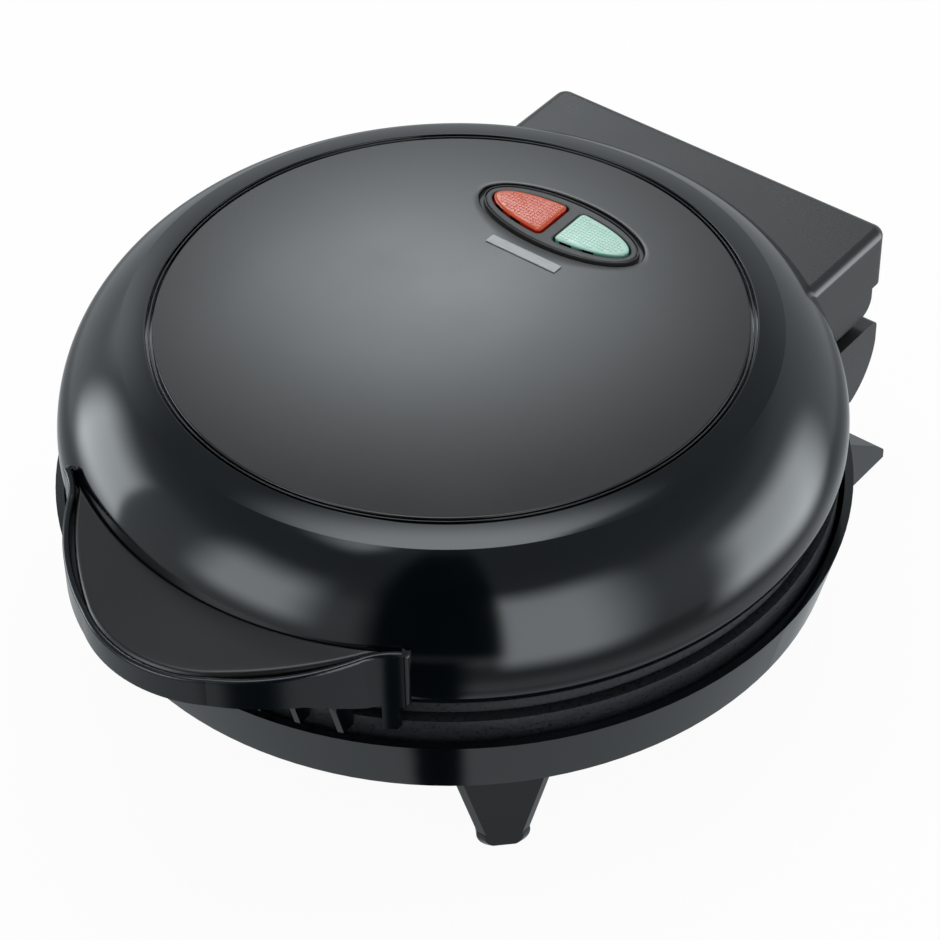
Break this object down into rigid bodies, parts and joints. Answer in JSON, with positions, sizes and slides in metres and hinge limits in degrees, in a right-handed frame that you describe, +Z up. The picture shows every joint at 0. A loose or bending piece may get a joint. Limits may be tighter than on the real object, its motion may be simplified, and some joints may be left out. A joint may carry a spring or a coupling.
{
  "type": "omelette maker",
  "caption": "Round countertop cooker with a hinged domed lid, crescent handle, half-moon cooking pockets in both plates, indicator lenses and a rear hinge block.",
  "frame": {"origin": "centre of the footprint box on the surface it stands on, under the round body's axis", "axes": "+Z up, +Y towards the hinge at the back, -Y towards the handle, +X to the right seen from the handle"},
  "size_m": [0.226, 0.2656, 0.1015],
  "materials": {
    "gloss_black": "polished moulded plastic",
    "satin_black": "satin moulded plastic",
    "textured_black": "fine textured moulded plastic",
    "nonstick": "dark non-stick coating on die-cast aluminium",
    "steel": "zinc-plated steel",
    "heater_steel": "heat-darkened steel tube",
    "reflector_metal": "bright sheet",
    "rubber": "soft rubber",
    "red_lens": "red-orange translucent plastic",
    "green_lens": "pale green translucent plastic",
    "silver_trim": "brushed silver plate",
    "ceramic": "off-white ceramic or glass-filled plastic",
    "lamp_glass": "neon lamp tube",
    "wire": "sleeved wire"
  },
  "bodies": {
    "base": {"base_housing": "gloss_black", "hinge_block": "satin_black", "hinge_block_screws": "steel", "front_feet": "gloss_black", "front_foot_screws": "steel", "rear_feet": "gloss_black", "rear_foot_screws": "steel", "foot_pads": "rubber", "base_rim_ring": "textured_black", "base_screws": "steel", "lower_cooking_plate": "nonstick", "lower_plate_screws": "steel", "lower_heating_element": "heater_steel", "lower_reflector": "reflector_metal", "lower_reflector_screws": "steel", "thermostat": "ceramic", "thermal_fuse": "steel", "fuse_clip": "steel", "terminal_block": "ceramic", "lower_lead_wires": "wire", "cord_gland": "rubber", "hinge_pins": "steel"},
    "lid": {"lid_shell": "gloss_black", "lid_top_panel": "satin_black", "indicator_bezel": "gloss_black", "red_lens": "red_lens", "green_lens": "green_lens", "indicator_lamps": "lamp_glass", "lamp_holder": "ceramic", "blank_trim_plate": "silver_trim", "lid_rim_ring": "textured_black", "lid_screws": "steel", "upper_cooking_plate": "nonstick", "upper_plate_screws": "steel", "upper_heating_element": "heater_steel", "upper_reflector": "reflector_metal", "upper_reflector_screws": "steel", "upper_lead_wires": "wire", "lid_hinge_cover": "satin_black", "cover_screws": "steel", "handle_surround": "gloss_black", "handle_top_panel": "satin_black", "handle_screws": "steel"}
  },
  "joints": [
    {"name": "lid_hinge", "type": "hinge", "parent": "base", "child": "lid", "pos_m": [0, 0.1233, 0.0517], "axis": [-1, 0, 0], "range_deg": [0, 95]}
  ]
}
